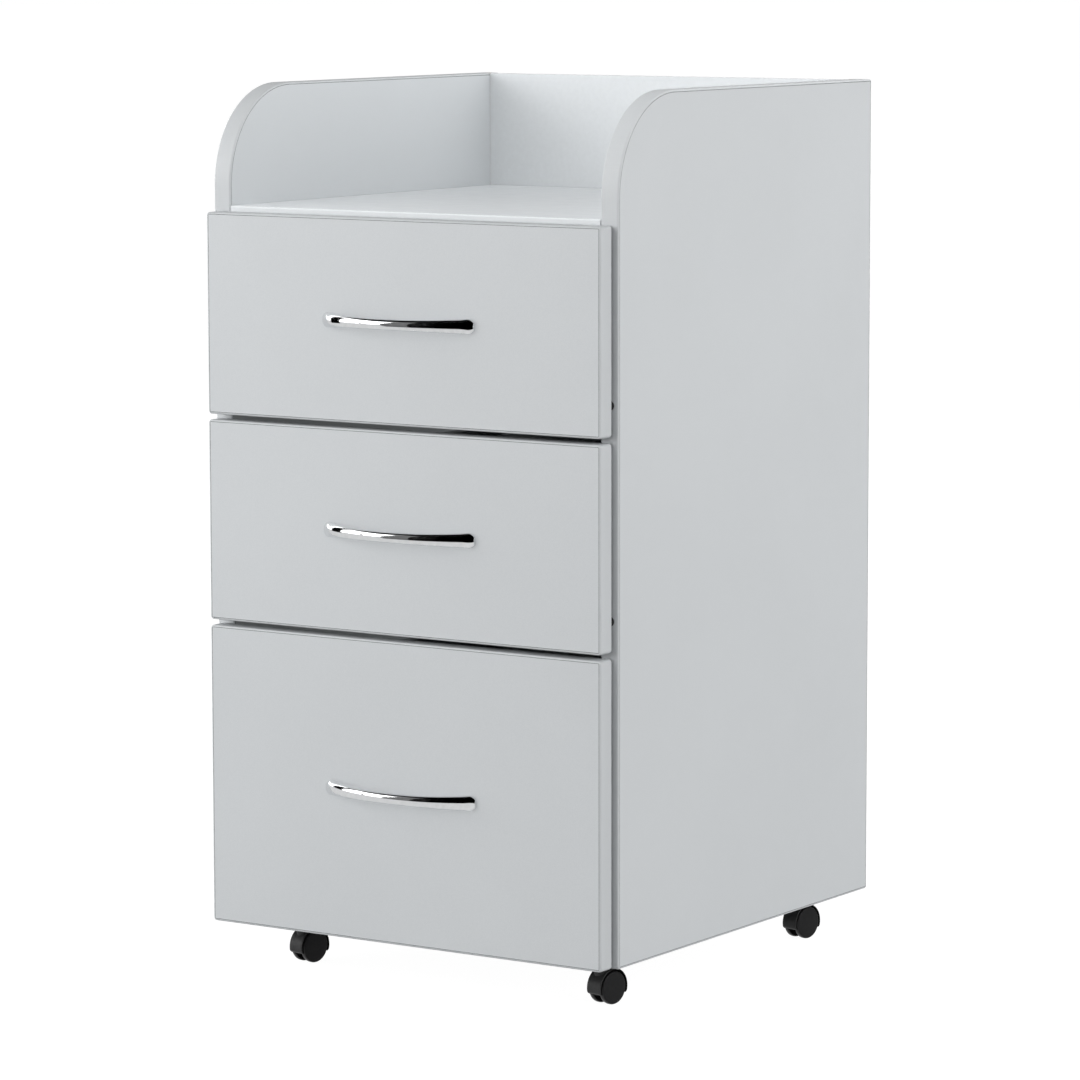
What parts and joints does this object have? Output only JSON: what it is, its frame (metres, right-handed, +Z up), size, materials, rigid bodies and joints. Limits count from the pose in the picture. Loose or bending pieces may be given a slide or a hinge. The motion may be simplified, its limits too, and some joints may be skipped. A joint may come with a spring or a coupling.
{
  "type": "rolling drawer cabinet",
  "caption": "Light grey board cabinet on swivel casters: an open tray with rounded side panels over drawers with chrome bow handles.",
  "frame": {"origin": "on the floor, under the centre of the bounding box, which reaches from the handles to the rear edges", "axes": "+X to the right seen from the front, +Y to the rear (drawers open towards -Y), +Z up"},
  "size_m": [0.38, 0.422, 0.71],
  "materials": {
    "laminate": "light grey melamine, fine matt texture",
    "foil": "light grey foil on thin fibreboard",
    "drawer_foil": "pale foil on chipboard",
    "chrome": "polished",
    "coated_steel": "off-white epoxy coating",
    "black_plastic": "moulded, half gloss",
    "wheel_plastic": "moulded, fine grain",
    "bare_steel": "drawn pin"
  },
  "bodies": {
    "cabinet": {"back_panel": "foil", "bottom_panel": "laminate", "cabinet_rail_1_left": "coated_steel", "cabinet_rail_1_right": "coated_steel", "cabinet_rail_2_left": "coated_steel", "cabinet_rail_2_right": "coated_steel", "cabinet_rail_3_left": "coated_steel", "cabinet_rail_3_right": "coated_steel", "caster_fl_plate": "black_plastic", "caster_fr_plate": "black_plastic", "caster_rl_plate": "black_plastic", "caster_rr_plate": "black_plastic", "side_left": "laminate", "side_right": "laminate", "top_shelf": "laminate"},
    "drawer_1": {"drawer_1_back": "drawer_foil", "drawer_1_base": "foil", "drawer_1_front": "laminate", "drawer_1_handle": "chrome", "drawer_1_side_left": "drawer_foil", "drawer_1_side_right": "drawer_foil", "drawer_rail_1_left": "coated_steel", "drawer_rail_1_right": "coated_steel"},
    "drawer_2": {"drawer_2_back": "drawer_foil", "drawer_2_base": "foil", "drawer_2_front": "laminate", "drawer_2_handle": "chrome", "drawer_2_side_left": "drawer_foil", "drawer_2_side_right": "drawer_foil", "drawer_rail_2_left": "coated_steel", "drawer_rail_2_right": "coated_steel"},
    "drawer_3": {"drawer_3_back": "drawer_foil", "drawer_3_base": "foil", "drawer_3_front": "laminate", "drawer_3_handle": "chrome", "drawer_3_side_left": "drawer_foil", "drawer_3_side_right": "drawer_foil", "drawer_rail_3_left": "coated_steel", "drawer_rail_3_right": "coated_steel"},
    "caster_fl": {"caster_fl_hood": "black_plastic", "caster_fl_axle": "bare_steel"},
    "caster_fl_wheel_left": {"caster_fl_wheel_left": "wheel_plastic"},
    "caster_fl_wheel_right": {"caster_fl_wheel_right": "wheel_plastic"},
    "caster_fr": {"caster_fr_hood": "black_plastic", "caster_fr_axle": "bare_steel"},
    "caster_fr_wheel_left": {"caster_fr_wheel_left": "wheel_plastic"},
    "caster_fr_wheel_right": {"caster_fr_wheel_right": "wheel_plastic"},
    "caster_rl": {"caster_rl_hood": "black_plastic", "caster_rl_axle": "bare_steel"},
    "caster_rl_wheel_left": {"caster_rl_wheel_left": "wheel_plastic"},
    "caster_rl_wheel_right": {"caster_rl_wheel_right": "wheel_plastic"},
    "caster_rr": {"caster_rr_hood": "black_plastic", "caster_rr_axle": "bare_steel"},
    "caster_rr_wheel_left": {"caster_rr_wheel_left": "wheel_plastic"},
    "caster_rr_wheel_right": {"caster_rr_wheel_right": "wheel_plastic"}
  },
  "joints": [
    {"name": "drawer_1_slide", "type": "slide", "parent": "cabinet", "child": "drawer_1", "axis": [0, -1, 0], "range_m": [0, 0.262]},
    {"name": "drawer_2_slide", "type": "slide", "parent": "cabinet", "child": "drawer_2", "axis": [0, -1, 0], "range_m": [0, 0.262]},
    {"name": "drawer_3_slide", "type": "slide", "parent": "cabinet", "child": "drawer_3", "axis": [0, -1, 0], "range_m": [0, 0.262]},
    {"name": "caster_fl_swivel", "type": "hinge", "parent": "cabinet", "child": "caster_fl", "pos_m": [-0.1435, -0.123, 0.03], "axis": [0, 0, 1], "continuous": true},
    {"name": "caster_fl_spin_left", "type": "hinge", "parent": "caster_fl", "child": "caster_fl_wheel_left", "pos_m": [-0.1423, -0.11712, 0.0132], "axis": [0.9799, -0.1994, 0], "continuous": true},
    {"name": "caster_fl_spin_right", "type": "hinge", "parent": "caster_fl", "child": "caster_fl_wheel_right", "pos_m": [-0.1423, -0.11712, 0.0132], "axis": [0.9799, -0.1994, 0], "continuous": true},
    {"name": "caster_fr_swivel", "type": "hinge", "parent": "cabinet", "child": "caster_fr", "pos_m": [0.1435, -0.123, 0.03], "axis": [0, 0, 1], "continuous": true},
    {"name": "caster_fr_spin_left", "type": "hinge", "parent": "caster_fr", "child": "caster_fr_wheel_left", "pos_m": [0.1447, -0.11712, 0.0132], "axis": [0.9799, -0.1994, 0], "continuous": true},
    {"name": "caster_fr_spin_right", "type": "hinge", "parent": "caster_fr", "child": "caster_fr_wheel_right", "pos_m": [0.1447, -0.11712, 0.0132], "axis": [0.9799, -0.1994, 0], "continuous": true},
    {"name": "caster_rl_swivel", "type": "hinge", "parent": "cabinet", "child": "caster_rl", "pos_m": [-0.1435, 0.176, 0.03], "axis": [0, 0, 1], "continuous": true},
    {"name": "caster_rl_spin_left", "type": "hinge", "parent": "caster_rl", "child": "caster_rl_wheel_left", "pos_m": [-0.1423, 0.18188, 0.0132], "axis": [0.9799, -0.1994, 0], "continuous": true},
    {"name": "caster_rl_spin_right", "type": "hinge", "parent": "caster_rl", "child": "caster_rl_wheel_right", "pos_m": [-0.1423, 0.18188, 0.0132], "axis": [0.9799, -0.1994, 0], "continuous": true},
    {"name": "caster_rr_swivel", "type": "hinge", "parent": "cabinet", "child": "caster_rr", "pos_m": [0.1435, 0.176, 0.03], "axis": [0, 0, 1], "continuous": true},
    {"name": "caster_rr_spin_left", "type": "hinge", "parent": "caster_rr", "child": "caster_rr_wheel_left", "pos_m": [0.1447, 0.18188, 0.0132], "axis": [0.9799, -0.1994, 0], "continuous": true},
    {"name": "caster_rr_spin_right", "type": "hinge", "parent": "caster_rr", "child": "caster_rr_wheel_right", "pos_m": [0.1447, 0.18188, 0.0132], "axis": [0.9799, -0.1994, 0], "continuous": true}
  ]
}
